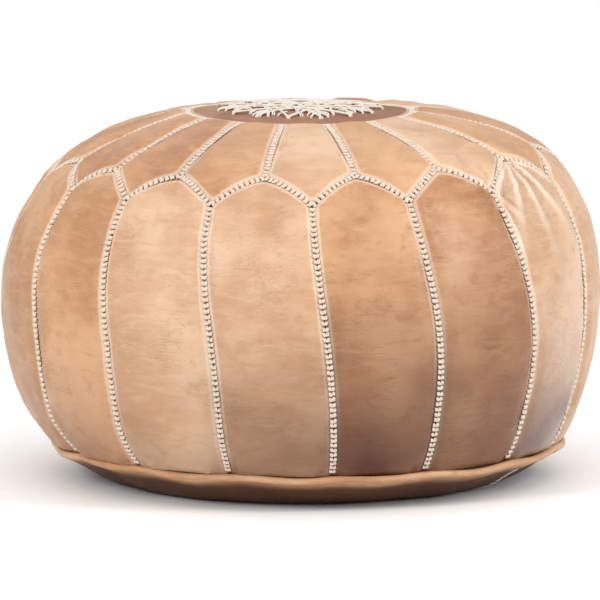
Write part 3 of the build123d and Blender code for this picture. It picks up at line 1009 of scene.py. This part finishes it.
def build_base():
    """The base's two halves, either side of the seam that the zip lies in."""
    columns, rows = 150, 64
    reach = BASE_EDGE_R
    for name, side in (("base_panel_back", 1), ("base_panel_front", -1)):
        u = reach * np.cos(np.linspace(0.02, math.pi - 0.02, columns))
        slot = 0.4 * MM + (SLOT_HALF - 0.4 * MM) * smooth((SLOT_END + 4 * MM - np.abs(u)) / (8 * MM))
        far = np.sqrt(reach**2 - u**2)
        near = 0.05 * (1 - np.cos(np.linspace(0, math.pi / 2, 10)[:-1]))
        t = np.concatenate([near, np.linspace(0.05, 1, rows - len(near))])
        v = slot + (far - slot) * t[:, None]
        r = np.hypot(u, v)
        z = base_height(r)
        roll = roll_quota(v - slot, 5 * MM)
        xy = zip_plane(np.broadcast_to(u, v.shape), side * v)
        flat = np.concatenate([xy, 0 * r[..., None]], -1)
        lump = layered_noise(flat, 0.06, 91 + side, 3)
        clear = smooth((v - 17 * MM) / (20 * MM))
        z = z + (0.5 + 0.5 * lump) * 1.2 * MM * smooth((FOOT_INNER_R - r) / (20 * MM)) * clear
        out = smooth((r - FOOT_R) / (20 * MM)) * (1 - smooth((r - reach + 6 * MM) / (6 * MM)))
        z = z + 1.3 * MM * lump * out
        z = np.maximum(z, 0)
        up, away = welt_wave(np.arctan2(xy[..., 1], xy[..., 0]))
        near_welt = smooth((r - FOOT_R - 15 * MM) / (reach - FOOT_R - 15 * MM))
        z = z + up * near_welt
        xy = xy * (1 + away * near_welt / np.maximum(r, 1 * MM))[..., None]
        place = np.concatenate([slipped(xy, r), z[..., None]], -1)
        faces = grid_faces(rows, columns)[:, ::-side].tolist()
        skin = leather(name + "_leather", *HIDES["base"], shift=side * 1.3, roughness=0.55, coat=0.0,
                       shine=0.2, foot_colour=BASE_PAINTED_SHADE)
        # painted shade: the base darkens towards its rim by the floor, less under the middle; rim also
        # paints shade at the zip slot's edges
        low = smooth((BASE_EDGE_R + 3 * MM - r) / (22 * MM))
        low *= 1 - 0.2 * smooth((188 * MM - r) / (60 * MM))
        piece = mesh_object(name, place, faces, skin, "base_leather", rim=roll, low=low)
        solidify(piece, LEATHER)


def build_base_stitching(material):
    """Long cream stitches over the base seam, beyond each end of the zip."""
    paths = []
    for side in (1, -1):
        for radius in np.arange(174 * MM, 222 * MM, 5.5 * MM):
            arc = np.linspace(-1, 1, 7)
            u = radius + 1.6 * MM * arc
            v = 2.1 * MM * arc
            z = base_height(u)
            sink = 0.3 * MM + 0.5 * MM * (1 - arc**2)
            xy = slipped(zip_plane(side * u, side * v), u)
            paths.append(np.concatenate([xy, (z - sink)[:, None]], -1))
    paths = np.array(paths)
    radii = np.full(paths.shape[:2], 0.6 * MM)
    tube_object("base_seam_stitching", paths, radii, material, "embroidery_thread")


def build_tapes(material):
    """The zip's two woven tapes, sewn inside the slot: a twill rib runs across each."""
    for name, side in (("zip_tape_back", 1), ("zip_tape_front", -1)):
        u, v = np.meshgrid(np.linspace(-TAPE_END, TAPE_END, 701), np.linspace(TAPE_INNER, TAPE_OUTER, 22))
        rib = np.sin(2 * math.pi * (u + np.abs(v - (TAPE_INNER + TAPE_OUTER) / 2)) / (1.6 * MM))
        z = TAPE_Z - TAPE_THICK / 2 + 0.06 * MM * (1 + rib)
        place = np.concatenate([zip_plane(u, side * v), z[..., None]], -1)
        faces = grid_faces(*u.shape)[:, ::side].tolist()
        piece = mesh_object(name, place, faces, material, "zip_tape")
        solidify(piece, TAPE_THICK - 0.14 * MM)


def finish_zip():
    """Gives the zip's CAD pieces their metal."""
    teeth = brass("zip_teeth_brass", rgb(196, 158, 96), rgb(140, 104, 58), 0.32)
    metal = brass("zip_slider_brass", rgb(188, 150, 92), rgb(120, 88, 50), 0.28)
    for name, material in (("zip_teeth_back", teeth), ("zip_teeth_front", teeth), ("zip_stops", metal),
                           ("zip_slider", metal), ("zip_pull_tab", metal)):
        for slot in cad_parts[name].material_slots:
            slot.material = material


# ---------------- inside

def build_inner(name, depth, material, slot, lump, noise_size):
    """A closed, lumpy form at a depth under the cover."""
    along = np.linspace(0, END, 70)
    r, z, turn = outline_at(along)
    extra = depth + GROOVE
    r, z = r - extra * np.cos(turn), z - extra * np.sin(turn)
    deeper = depth - BAG_DEPTH
    bottom_r = np.array([222, 212, 198, 180, 160, 130, 100, 70, 40, 15]) * MM - deeper
    bottom_z = base_height(bottom_r) + depth + 2.5 * MM
    over_zip = bottom_r < 165 * MM
    bottom_z[over_zip] = np.maximum(bottom_z[over_zip], BAG_FLOOR + deeper)
    top_r = np.array([15, 40, 70, 90]) * MM
    rr = np.concatenate([top_r, r, bottom_r])
    zz = np.concatenate([np.full(len(top_r), z[0]), z, bottom_z])
    steps = 160
    place = round_axis(rr[:, None], circle(steps), zz[:, None])
    noise = layered_noise(place, noise_size, 101, 3)
    radial = place / np.linalg.norm(place - (0, 0, EQUATOR_Z), axis=2, keepdims=True)
    place = place - radial * (lump * (0.5 + 0.5 * noise))[..., None] * (1, 1, 0.4)
    place[..., 0] += sideways(place[..., 2])
    faces = grid_faces(len(rr), steps, closed=True).tolist()
    faces.append(list(range(steps)))
    faces.append(list(range(len(rr) * steps - 1, (len(rr) - 1) * steps - 1, -1)))
    piece = mesh_object(name, place, faces, material, slot)


def build_inside():
    """The cotton bag, creased under the cover, and the lumpy wadding in it."""
    bag = cotton("bag_cotton", rgb(226, 216, 196), rgb(196, 184, 160))
    wadding = cotton("wadding", rgb(238, 234, 226), rgb(214, 208, 198), 300)
    build_inner("filling_bag", BAG_DEPTH, bag, "bag_cotton", 0.5 * MM, 0.03)
    build_inner("filling", BAG_DEPTH + 2.8 * MM, wadding, "filling_wadding", 1.2 * MM, 0.05)


# ---------------- studio

CAMERA_AWAY, CAMERA_HEIGHT, CAMERA_AIM = 9.5, 1.561, 0.1572
CAMERA_LENS = 638.7
FLOOR_HALF = 14.0
SKY_LOW, SKY_HIGH = 0.34, 1.36  # the studio's light at the horizon and overhead


def aim(thing, target):
    """Turns a camera or a lamp towards a point."""
    direction = np.array(target, float) - np.array(thing.location)
    yaw = math.atan2(direction[1], direction[0]) - math.pi / 2
    pitch = math.atan2(direction[2], math.hypot(direction[0], direction[1])) + math.pi / 2
    thing.rotation_euler = (pitch, 0, yaw)


def build_camera():
    data = bpy.data.cameras.new("camera")
    data.lens = CAMERA_LENS
    data.sensor_width = 36
    data.clip_end = 60
    camera = add_object("camera", data)
    camera.location = (0, -CAMERA_AWAY, CAMERA_HEIGHT)
    aim(camera, (0, 0, CAMERA_AIM))
    bpy.context.scene.camera = camera


def area_light(name, place, size, power):
    data = bpy.data.lights.new(name, "AREA")
    data.shape = "RECTANGLE"
    data.size, data.size_y = size
    data.energy = power
    light = add_object(name, data)
    light.location = place
    aim(light, (0, 0, EQUATOR_Z))


def build_studio():
    """A pale paper floor, soft light from above and two lamps."""
    n = Nodes(bpy.data.materials.new("floor_paper"))
    speckle = n.ramp(n.noise(n.position(), 60, 3), 0.3, 0.7)
    paper = n.set(Base_Color=n.mix(speckle, (0.95, 0.95, 0.95, 1), (0.97, 0.97, 0.97, 1)), Roughness=0.85)
    mesh = bpy.data.meshes.new("floor")
    corners = [(-1, -1), (1, -1), (1, 1), (-1, 1)]
    mesh.from_pydata([(FLOOR_HALF * x, FLOOR_HALF * y, 0) for x, y in corners], [], [(0, 1, 2, 3)])
    mesh.materials.append(paper)
    add_object("floor", mesh)
    sky = Nodes(bpy.data.worlds.new("studio"))
    up = sky.add("ShaderNodeSeparateXYZ", {0: sky.add("ShaderNodeTexCoord").outputs["Generated"]})
    level = sky.add("ShaderNodeMapRange", {0: up.outputs[2], 3: SKY_LOW, 4: SKY_HIGH})
    background = sky.tree.nodes["Background"]
    sky.put(background.inputs["Color"], (1, 1, 1, 1))
    sky.put(background.inputs["Strength"], level.outputs[0])
    bpy.context.scene.world = sky.owner
    area_light("key", (-1.8, -2.0, 1.5), (0.8, 0.8), 34)
    area_light("rim", (1.6, -0.9, 1.0), (0.25, 1.0), 16)
    bpy.context.scene.view_settings.view_transform = "Standard"


build_camera()
build_studio()
build_cover()
braid_thread = thread("braid_thread", CREAM, CREAM_SHADE)
star_thread = thread("star_thread", rgb(230, 221, 209), rgb(166, 148, 132), 0.6)
build_braids(braid_thread)
build_medallion()
build_star(star_thread)
build_border(braid_thread)
build_welt()
build_base()
build_base_stitching(star_thread)
build_tapes(cotton("zip_tape_cotton", rgb(120, 88, 62), rgb(84, 58, 40), 1400))
finish_zip()
build_inside()
